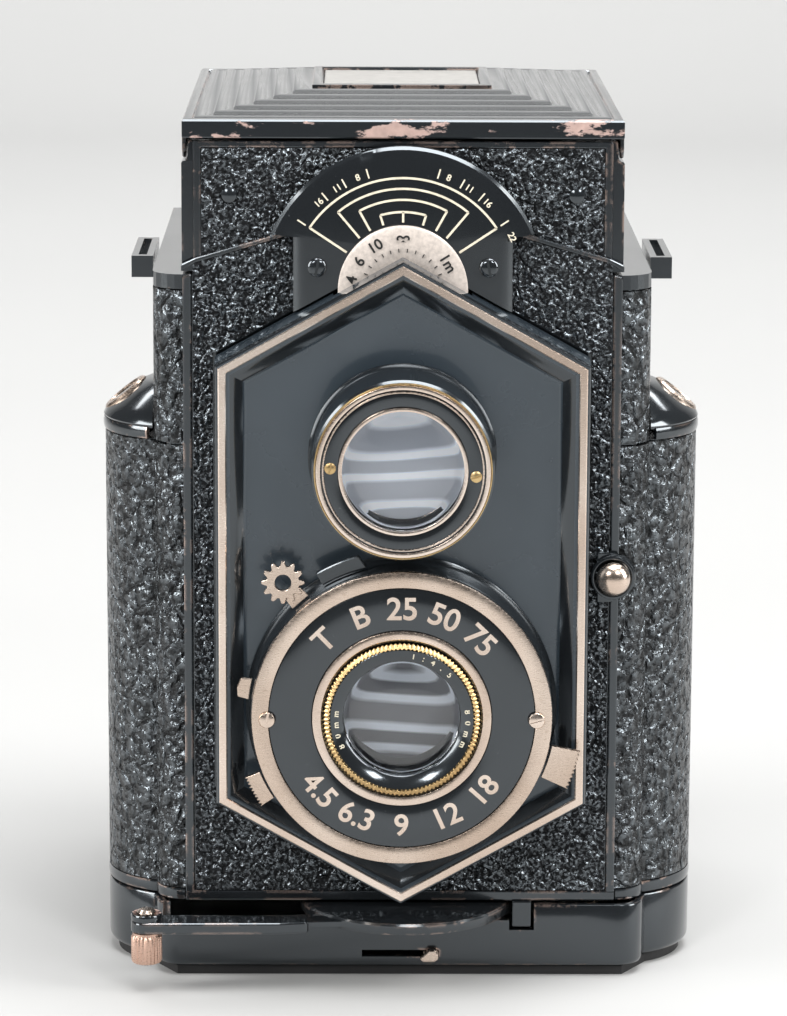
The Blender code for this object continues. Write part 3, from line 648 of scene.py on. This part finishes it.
def shutter_levers():
    """Gear-shaped speed tab, toothed tabs and small fingers round the shutter."""
    def corners(*spots):
        return [polar(TAKING, radius, angle) for radius, angle in spots]

    x, z = polar(TAKING, 29.4, 131.3)
    steps, teeth, mean_radius, depth = 96, 12, 3.1, 0.42
    outline = []
    for step in range(steps):
        angle = 2 * pi * step / steps
        reach = mean_radius + depth * max(-1.0, min(1.0, 2.6 * cos(teeth * angle)))
        outline.append((x + reach * cos(angle), z + reach * sin(angle)))
    made = piece("speed_tab", slab_y(outline, -14.4, -13.2), NICKEL, "speed_lever", smooth=False)
    carve(made, cylinder(1.35, -16, -12, (x, 0, z)))
    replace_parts(soften(made, 0.12), "speed_lever")
    arm = slab_y(corners((25.1, 127.4), (25.1, 135.2), (27.0, 134.6), (27.0, 128.0)), -14.2, -13.4)
    flat("speed_arm", arm, NICKEL, "speed_lever", 0.1)
    strip = slab_y(arc(TAKING, 25.0, 103, 121, 10) + arc(TAKING, 27.4, 121, 105, 10), -13.6, -12.2)
    flat("speed_cover", strip, ENAMEL_CLEAN, "focusing_panel", 0.25)

    for name, middle, half, low, high, body in (
            ("aperture_tab", -18.3, 6.3, 25.2, 29.8, "aperture_lever"),
            ("release_tab", 208.3, 5.6, 25.2, 27.6, "release_lever")):
        outline = arc(TAKING, low, middle - half, middle + half, 8)
        steps, teeth, depth = 44, 9, 0.22
        for step in range(steps + 1):
            reach = high + depth * cos(2 * pi * teeth * step / steps)
            outline.append(polar(TAKING, reach, middle + half - 2 * half * step / steps))
        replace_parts(flat(name, slab_y(outline, -14.4, -13.2), NICKEL, body, 0.1), body)
    outline = arc(TAKING, 25.1, 166.3, 174.3, 4) + corners((27.0, 173.6), (27.3, 170.3), (27.0, 167.0))
    finger = slab_y(outline, -14.3, -13.2)
    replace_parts(flat("cocking_finger", finger, NICKEL, "cocking_lever", 0.15), "cocking_lever")


# ---- focusing scale and lever

def scale_plate():
    """Depth-of-field plate: domed edge, cream arcs with radial ends, ticks and two screws."""
    body = "camera_body"
    rings = []
    for inset, y in ((0.0, -0.3), (0.0, -2.2), (0.5, -2.7), (2.2, -3.0)):
        dome = arc(DISC, 23.3 - inset, 23.0 + inset * 0.6, 157.0 - inset * 0.6, 48)
        foot = [(-17.9 + inset, 126.9 - inset * 0.4), (-17.9 + inset, 103.0),
                (17.9 - inset, 103.0), (17.9 - inset, 126.9 - inset * 0.4)]
        rings.append([(x, y, z) for x, z in dome + foot])
    made = piece("scale_plate", skin(rings), ENAMEL_CLEAN, body)
    carve(made, slab_y(hexagon(1.1), -8, 2))
    carve(made, cylinder(2.5, -8, 2, (0, 0, DISC_Z)))
    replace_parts(made, "dof_plate")

    lines = bmesh.new()
    inner, wide, thin, ink = 11.0, 0.36, 0.24, (-3.07, -2.9)
    arcs = ((18.25, 56.5), (16.5, 40.0), (14.7, 29.0), (12.7, 17.0))
    for radius, spread in arcs:
        stripe(arc(DISC, radius, 90 - spread, 90 + spread, 40), wide, *ink, lines)
        for angle in (90 - spread, 90 + spread):
            stripe([polar(DISC, r, angle) for r in (inner, radius)], wide, *ink, lines)
    stripe([(0, DISC_Z + inner), (0, DISC_Z + 12.7)], wide, *ink, lines)
    for _, spread in reversed(arcs):
        for angle in (90 - spread, 90 + spread):
            stripe([polar(DISC, r, angle) for r in (19.0, 20.6)], thin, *ink, lines)
    piece("scale_lines", lines, CREAM, body, smooth=False)
    for text, angle in (("22", 26), ("16", 46), ("11", 57), ("8", 68), ("8", 112), ("11", 123), ("16", 134)):
        x, z = polar(DISC, 19.7, angle)
        label(f"scale_{text}_{angle}", text, 1.5, x, -3.05, z, angle - 90, CREAM, body)
    for word, x, slot_angle in (("left", -14.0, 80), ("right", 14.0, 100)):
        screw(f"scale_screw_{word}", x, 121.2, -3.75, 1.55, slot_angle, ENAMEL_CLEAN, body, 0.9)


def distance_dial():
    """Plated disc with the distances in metres round its middle."""
    body, centre = "distance_disc", (0, 0, DISC_Z)
    profile = [(0, -3.5), (3.2, -3.7), (6.0, -4.25), (10.2, -4.4), (10.6, -4.2), (10.6, -3.4), (2.0, -3.4),
               (2.0, 5.0), (0, 5.0)]
    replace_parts(turned("distance_dial", profile, centre, DIAL_METAL, body), "distance_disc")
    for text, angle in (("∞", 90), ("10", 122), ("6", 146), ("4", 168), ("3", 196), ("2.5", 226), ("2", 262),
                        ("1.5", 310), ("1.2", 350), ("1m", 32)):
        x, z = polar(DISC, 8.5, angle)
        name = {"∞": "far"}.get(text, text.replace(".", "_"))
        label(f"distance_{name}", text, 2.5, x, -4.42, z, angle - 90, INK, body, 0.03)
    ticks = bmesh.new()
    for angle in range(0, 360, 12):
        stripe([polar(DISC, r, angle) for r in (6.3, 6.9)], 0.14, -4.42, -4.2, ticks)
    piece("distance_ticks", ticks, INK, body, smooth=False)


def focusing_lever():
    """Black disc sector and arm under the front, with a knurled nickel knob."""
    body = "focusing_lever"
    disc = [(0, 10.4), (17.2, 10.4), (17.8, 10.6), (18.0, 11.0), (18.0, 12.1), (17.7, 12.45),
            (17.0, 12.6), (0, 12.6)]
    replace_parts(turned("lever_disc", disc, (*PIVOT, 0), ENAMEL_WORN, body, "Z", 160), "focus_lever")
    outline = arc(KNOB, 2.6, 90, 270, 14)
    outline += [(-20.0, -11.3), (-15.8, -10.6), (-15.3, -10.0), (-15.3, -6.0), (-24.0, -6.6)]
    flat("lever_arm", slab_z(outline, 10.5, 12.5), ENAMEL_WORN, body, 0.35, 3)
    neck = slab_z([(-16.0, -9.0), (-9.0, -8.4), (-9.0, -4.0), (-16.0, -6.2)], 10.9, 12.1)
    flat("lever_neck", neck, ENAMEL_WORN, body, 0.2)
    spot = (*KNOB, 0)

    def ribs(angle, along):
        return 1.0 + (0.035 * cos(24 * angle) if along < 9.9 else 0.0)

    knob = [(0, 5.0), (1.9, 5.0), (2.35, 5.25), (2.5, 5.7), (2.5, 9.6), (2.3, 9.95), (2.3, 10.35),
            (0, 10.35)]
    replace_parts(turned("lever_knob", knob, spot, COPPER, body, "Z", 240, ribs), "focus_knob")
    cup = [(0, 12.5), (2.5, 12.5), (2.6, 13.3), (2.45, 13.6), (2.2, 13.55), (2.1, 13.1), (0, 13.1)]
    turned("lever_cup", cup, spot, ENAMEL_CHIPPED, body, "Z", 64)
    cap = [(0, 13.1), (1.6, 13.1), (1.6, 13.8), (1.25, 14.25), (0.6, 14.45), (0, 14.5)]
    turned("lever_cap", cap, spot, NICKEL_BRIGHT, body, "Z", 48)


def release():
    """Release button with its plate and collar beside the panel."""
    body, centre = "camera_body", (BUTTON[0], 0, BUTTON[1])
    outline = [(32.4, 65.0), (34.6, 65.0)] + arc(BUTTON, 3.9, -60, 60, 12) + [(34.6, 73.4), (32.4, 73.4)]
    plate = slab_y(outline, -1.4, -0.3)
    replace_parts(flat("button_plate", plate, ENAMEL_CLEAN, body, 0.2), "release_plate")
    collar = rounded(-2.6, -1.2, 2.95, 3.65, 0.25)
    turned("button_collar", collar, centre, ENAMEL_CLEAN, body, steps=64)
    dome = [(0, -5.4), (0.9, -5.34), (1.8, -5.0), (2.4, -4.5), (2.75, -3.9), (2.8, -3.4), (2.6, -3.1),
            (1.6, -3.0), (1.6, 2.0), (0, 2.0)]
    made = turned("button_dome", dome, centre, NICKEL_BRIGHT, "release_button", steps=64)
    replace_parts(made, "release_button")


# ---- hood

def lid():
    """Low hipped lid: rolled rim, stepped ribs up each slope and a framed raised plate."""
    body = "hood_lid"
    near, far = 0.3, 84.5
    half, crown_half, crown_front, crown_back = 36.05, 14.8, 27.0, 58.0

    def ring(share, z, grow=0.0):
        x = half + (crown_half - half) * share + grow
        y0 = near + (crown_front - near) * share - grow
        y1 = far + (crown_back - far) * share + grow
        return [(*corner, z) for corner in rectangle(-x, x, y0, y1)]

    rings = [ring(0, 141.9, -0.9), ring(0, 141.9, -0.1), ring(0, 142.1, 0.0), ring(0, 144.6, 0.0),
             ring(0, 144.9, -0.25), ring(0, 145.0, -0.7), ring(0, 145.0, -1.6)]
    ribs, slope_start, slope_share = 6, 0.08, 0.9
    slope_foot, slope_rise = 144.75, 147.6 - 144.75
    for rib in range(ribs):
        for part, lift in ((0.0, 0.0), (0.12, 0.2), (0.3, 0.27), (0.45, 0.2), (0.58, 0.0)):
            along = (rib + part) / ribs
            rings.append(ring(slope_start + slope_share * along, slope_foot + slope_rise * along + lift))
    rings += [ring(0.985, 147.3), ring(0.985, 147.9), ring(1.0, 148.0), ring(1.05, 148.0), ring(1.07, 147.6),
              ring(1.0, 146.4, -1.2), ring(0.15, 144.2, -0.9), ring(0, 143.6, -0.9)]
    made = piece("lid_shell", skin(rings, closed=True), ENAMEL_WORN, body, angle=22)
    made.data.materials.append(ENAMEL_CHIPPED)
    lip_depth, lip_foot = 0.9, 141.95
    for face in made.data.polygons:
        if face.center.y / MM - FRONT_Y < lip_depth and face.center.z / MM > lip_foot:
            face.material_index = 1
    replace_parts(made, "hood_lid")
    plate = slab_z(rectangle(-13.2, 13.2, 29.2, 56.0), 147.1, 147.55)
    flat("lid_plate", plate, PALE_PLATE, body, 0.2)
    lining = slab_z(rectangle(-13.6, 13.6, 28.8, 56.4), 146.5, 147.0)
    piece("lid_lining", lining, MATT, body, smooth=False)
    outline = [(2.0, 142.3), (2.0, 139.6), (3.2, 138.4), (78.0, 138.4), (80.0, 140.0), (80.0, 142.3)]
    for word, side in SIDES:
        skirt = skin([[(x, y, z) for y, z in outline] for x in sorted((side * 35.4, side * 36.1))])
        flat(f"lid_skirt_{word}", skirt, ENAMEL_WORN, body, 0.25)
    for word, side in SIDES:
        knuckle = cylinder(1.3, side * 20 - 9, side * 20 + 9, (0, 83.2, 141.9), "X", 24)
        piece(f"lid_knuckle_{word}", knuckle, ENAMEL_WORN, body)


def hood_walls():
    """Fixed hood: framed leather front with rivets, plain enamel sides and back."""
    body = "camera_body"
    rings = ((36.2, 1.4, 83.6, 119.9), (36.2, 1.4, 83.6, 137.7), (36.0, 1.4, 83.6, 138.0),
             (35.2, 1.4, 83.6, 138.1), (35.0, 1.5, 83.6, 141.2), (34.8, 1.7, 83.4, 141.4),
             (34.0, 2.6, 82.6, 141.4), (33.8, 2.8, 82.4, 141.2), (33.8, 2.8, 82.4, 119.9))
    walls = skin([[(x, y, z) for x, y in rectangle(-half, half, front, back)]
                  for half, front, back, z in rings], closed=True)
    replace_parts(piece("hood_walls", walls, ENAMEL_WORN, body, angle=25), "hood_housing")
    outer, inner = rectangle(-34.4, 34.4, 121.0, 141.35), rectangle(-33.0, 33.0, 122.0, 140.3)
    flat("hood_bead", bead(outer, inner, 1.35, 0.75, 0.995), ENAMEL_WORN, body, 0.2)
    hide = slab_y(rectangle(-32.9, 32.9, 122.2, 140.2), 0.85, 1.35)
    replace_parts(piece("hood_hide", hide, FRONT_HIDE, body, smooth=False), "hood_leather")
    for word, side in SIDES:
        dome = [(0, 0.2), (0.7, 0.25), (1.2, 0.5), (1.35, 0.95), (0, 0.95)]
        turned(f"hood_rivet_{word}", dome, (side * 28.4, 0, 132.5), ENAMEL_CLEAN, body, steps=32)


# ---- body

def front_frame():
    """Arched black plate round the front leather, with rolled side strips and a lower band."""
    body = "camera_body"
    for name, outline, low, high, width, segments in (
            ("front_strip", [(34.6, 13.2), (36.1, 13.2), (36.1, 119.2), (34.6, 119.6)], -0.05, 0.9, 0.3, 3),
            ("arch_band", [(36.3, 121.2), (34.0, 122.3), (18.3, 126.9), (18.3, 126.1), (34.0, 121.5),
                           (36.3, 120.0)], -0.15, 0.75, 0.2, 2)):
        for word, side in SIDES:
            shape = slab_y([(side * x, z) for x, z in outline], low, high)
            flat(f"{name}_{word}", shape, ENAMEL_WORN, body, width, segments)
    lower = slab_y(rectangle(-36.1, 36.1, 13.1, 14.8), -0.1, 0.9)
    flat("front_lower_band", lower, ENAMEL_WORN, body, 0.25)
    outline = [(-34.4, 14.9), (34.4, 14.9), (34.4, 121.4), (18.2, 126.0), (-18.2, 126.0), (-34.4, 121.4)]
    made = piece("front_hide", slab_y(outline, 0.0, 0.7), FRONT_HIDE, body, smooth=False)
    carve(made, slab_y(hexagon(1.2), -1, 2))
    carve(made, cylinder(2.2, -1, 2, (BUTTON[0], 0, BUTTON[1])))
    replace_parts(made, "front_leather")


def side_plan(offset):
    """Right half of the body's plan: rounded front corner, then the spool tower."""
    radius, side = 13.7 + offset, 40.3 + offset
    crease = degrees(acos((side - TOWER[0]) / radius))
    return arc((36.1, 6.0), 4.2 + offset, -88, -15, 8) + arc(TOWER, radius, -crease, crease, 44)


def bands():
    """Rolled enamel lips above the base and round the top of each tower."""
    body = "camera_body"
    for word, side in SIDES:
        for name, low, high, out in (("foot_band", 13.0, 14.8, 1.0), ("tower_rim", 91.1, 93.0, 1.2)):
            clear, tower_from = 0.3, 41.3
            plan = [point for point in side_plan(clear) if name == "foot_band" or point[0] > tower_from]
            mid = (high + low) / 2
            rows = []
            for index, (x0, y0) in enumerate(plan):
                run = heading(plan, index) * (out - clear)
                x1, y1 = x0 + run.y, y0 - run.x
                x2, y2 = x0 * 0.15 + x1 * 0.85, y0 * 0.15 + y1 * 0.85
                section = ((x0, y0, low), (x2, y2, low), (x1, y1, mid - 0.4), (x1, y1, mid + 0.4),
                           (x2, y2, high), (x0, y0, high))
                rows.append([(side * x, y, z) for x, y, z in section])
            piece(f"{name}_{word}", skin(rows), ENAMEL_WORN, body, angle=50)


def shoulders():
    """Domed enamel caps over the towers, each with a nickel window ring and its glass."""
    body = "camera_body"
    for word, side in SIDES:
        profile = [(0, 92.9), (14.6, 92.9), (14.85, 93.4), (14.4, 94.3), (12.8, 95.7), (10.4, 97.6),
                   (8.3, 99.0), (7.0, 99.5), (0, 99.5)]
        centre = (side * TOWER[0], TOWER[1], 0)
        made = turned(f"shoulder_{word}", profile, centre, ENAMEL_CLEAN, body, "Z")
        carve(made, slab_z(rectangle(*sorted((side * 41.45, side * 5)), 0, 50), 90, 101))
        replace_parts(made, f"tower_cap_{word}")
        rise, run = 6.5, 8.1
        tilt = Matrix.Rotation(side * atan2(rise, run), 4, "Y")
        tilt = Matrix.Translation((side * 46.25, TOWER[1], 96.25)) @ tilt
        section = [(2.9, 0.1), (2.9, 0.75), (3.2, 1.0), (3.9, 0.95), (4.3, 0.6), (4.4, 0.05)]
        window = turn(section, (0, 0, 0), "Z", 64)
        bmesh.ops.transform(window, matrix=tilt, verts=window.verts)
        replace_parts(piece(f"window_rim_{word}", window, NICKEL, body), f"window_ring_{word}")
        glaze = turn([(0, 0.15), (2.85, 0.15), (2.85, 0.45), (1.6, 0.62), (0, 0.7)], (0, 0, 0), "Z", 48)
        bmesh.ops.transform(glaze, matrix=tilt, verts=glaze.verts)
        piece(f"window_glass_{word}", glaze, LENS, body)


# ---- base

def tray_plan(inset):
    """Outline of the base: rounded front corners, tower bulges and straight sides."""
    tower, side = 14.6 - inset, 41.2 - inset
    crease = degrees(acos((side + 0.5 - TOWER[0]) / tower))
    right = arc((36.6, 3.6), 4.6 - inset, -90, 0, 8) + arc(TOWER, tower, -crease, crease, 32)
    right.append((side, 85.0 - inset))
    return right + [(-x, y) for x, y in reversed(right)]


def base():
    """Pressed base tray with its lever recess and notch, the body's tongue and the latch."""
    body = "rear_cover_and_base"
    rings = ((0.9, 1.8), (0.35, 2.0), (0.1, 2.35), (0.0, 2.8), (0.0, 12.3), (0.1, 12.5), (0.3, 12.6),
             (1.2, 12.6), (1.2, 3.0))
    shape = skin([[(x, y, z) for x, y in tray_plan(inset)] for inset, z in rings])
    made = piece("tray_shell", shape, ENAMEL_WORN, body, angle=28)
    lever_recess = slab_y(rectangle(-40.0, 19.6, 9.9, 14.0), -3, 1)
    carve(made, lever_recess)
    notch_and_holes = slab_y(rectangle(18.4, 22.6, 8.2, 14.5), -3, 1.01)
    slab_y(rectangle(-6.4, 6.6, 3.5, 4.7), -3, 1, shape=notch_and_holes)
    cylinder(3.4, 0, 5, (*TOWER, 0), "Z", shape=notch_and_holes)
    cylinder(5.0, 0, 5, (0, 42.0, 0), "Z", shape=notch_and_holes)
    carve(made, notch_and_holes)
    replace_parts(made, "base_tray")
    tongue = slab_y(rectangle(18.9, 22.1, 8.7, 13.2), -0.85, 0.7)
    flat("front_tongue", tongue, ENAMEL, "camera_body", 0.25)
    outline = [(3.3, 3.6), (3.9, 3.0), (5.9, 3.0), (6.5, 3.5), (6.5, 4.5), (6.0, 5.1), (4.9, 5.1)]
    wedge = slab_y(outline, -2.7, -1.25)
    slab_y(rectangle(3.9, 5.9, 3.7, 4.5), -1.2, 0.9, shape=wedge)
    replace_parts(flat("latch_wedge", wedge, NICKEL_BRIGHT, "latch_slider", 0.25), "latch_slider")


def back():
    """Rear cover: enamel plate with a rolled frame round its leather."""
    body = "rear_cover_and_base"
    plate = skin([[(x, y, z) for x, z in rectangle(-41.2 + i, 41.2 - i, 13.0 + i, 116.6 - i)]
                 for i, y in ((0.0, 81.0), (0.0, 83.6), (0.25, 84.1), (0.7, 84.3))])
    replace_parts(piece("cover_plate", plate, ENAMEL_WORN, body, angle=30), "rear_cover")
    outer, inner = rectangle(-40.2, 40.2, 14.0, 115.6), rectangle(-38.6, 38.6, 15.6, 114.0)
    flat("cover_frame", bead(outer, inner, 84.25, 84.95, 0.996), ENAMEL_WORN, body, 0.2)
    hide = slab_y(rectangle(-38.5, 38.5, 15.7, 113.9), 84.35, 84.8)
    piece("cover_hide", hide, TOWER_HIDE, body, smooth=False)


# ---- light, floor and view

def area_light(name, spot, aim, size, power, colour):
    """A rectangular soft light at a spot, aimed at a point; metres and watts."""
    lamp = bpy.data.lights.new(name, "AREA")
    lamp.shape = "RECTANGLE"
    lamp.size, lamp.size_y = size
    lamp.energy = power
    lamp.color = colour
    made = bpy.data.objects.new(name, lamp)
    made.location = spot
    made.rotation_euler = (Vector(aim) - Vector(spot)).to_track_quat("-Z", "Y").to_euler()
    bpy.context.scene.collection.objects.link(made)


def paper():
    """White paper with a barely uneven tone."""
    white = (0.375, 0.375, 0.372)
    made = Shader("paper", white, 0.8)
    made.to("Base Color", made.mix(made.noise(5.0, 2.0), white, (0.36, 0.36, 0.357)))
    return made.material


def studio():
    """Pale table with a curved backdrop, big soft lights and a dim room in front."""
    near, bend, wall, top, half_width, radius = -1.2, 1.2, 1.5, 1.3, 1.6, 0.3     # metres
    curve = arc((bend, radius), radius, -80, 0, 8)
    profile = [(near, 0.0), (bend, 0.0)] + curve + [(wall, top)]
    shape = skin([[(x, y, z) for y, z in profile] for x in (-half_width, half_width)], caps=False)
    closing = [f for f in shape.faces if {round(v.co.y, 3) for v in f.verts} == {near, wall}]
    bmesh.ops.delete(shape, geom=closing, context="FACES")
    mesh = bpy.data.meshes.new("backdrop")
    shape.to_mesh(mesh)
    shape.free()
    mesh.shade_smooth()
    mesh.materials.append(paper())
    floor = bpy.data.objects.new("backdrop", mesh)
    bpy.context.scene.collection.objects.link(floor)

    white, warm = (1.0, 1.0, 1.0), (1.0, 0.99, 0.97)
    for lamp in (("key_top", (0.15, -0.15, 0.95), (0, 0.0, 0.05), (0.8, 0.5), 13.5, white),
                 ("side_left", (-0.9, -0.35, 0.45), (0, -0.02, 0.07), (0.45, 0.7), 11.5, warm),
                 ("side_right", (0.9, -0.3, 0.5), (0, -0.02, 0.07), (0.4, 0.7), 10.5, warm),
                 ("sparkle_left", (-0.4, -0.85, 0.62), (0, 0, 0.08), (0.22, 0.22), 3.0, white),
                 ("sparkle_right", (0.45, -0.8, 0.7), (0, 0, 0.08), (0.22, 0.22), 3.0, white),
                 ("backdrop_wash", (0.0, 0.75, 1.2), (0, 1.4, 0.2), (1.8, 0.5), 28, white)):
        area_light(*lamp)
    world = bpy.data.worlds.new("room")
    world.use_nodes = True
    room = world.node_tree.nodes["Background"].inputs
    room["Color"].default_value = (0.95, 0.98, 1.0, 1)
    room["Strength"].default_value = 0.1
    bpy.context.scene.world = world
    bpy.context.scene.view_settings.view_transform = "Standard"


def camera():
    """The viewpoint: slightly above, almost square to the front."""
    pitch, yaw, roll = 0.201, 0.008, 0.004          # radians
    eye = Vector((-0.00685, -0.6865 + FRONT_Y * MM, 0.2205))
    sensor_mm, focal_mm = 36.0, 150.013
    forward = Vector((sin(yaw) * cos(pitch), cos(yaw) * cos(pitch), -sin(pitch)))
    right = Vector((cos(yaw), -sin(yaw), 0))
    up = right.cross(forward)
    across = cos(roll) * right + sin(roll) * up
    upward = -sin(roll) * right + cos(roll) * up
    lens = bpy.data.cameras.new("view")
    lens.sensor_width = sensor_mm
    lens.lens = focal_mm
    made = bpy.data.objects.new("view", lens)
    made.matrix_world = Matrix((
        (across.x, upward.x, -forward.x, eye.x), (across.y, upward.y, -forward.y, eye.y),
        (across.z, upward.z, -forward.z, eye.z), (0, 0, 0, 1)))
    bpy.context.scene.collection.objects.link(made)
    bpy.context.scene.camera = made


for build in (lens_panel, viewing_lens, shutter, shutter_levers, scale_plate, distance_dial,
              focusing_lever, release, lid, hood_walls, front_frame, bands, shoulders, base, back,
              studio, camera):
    build()
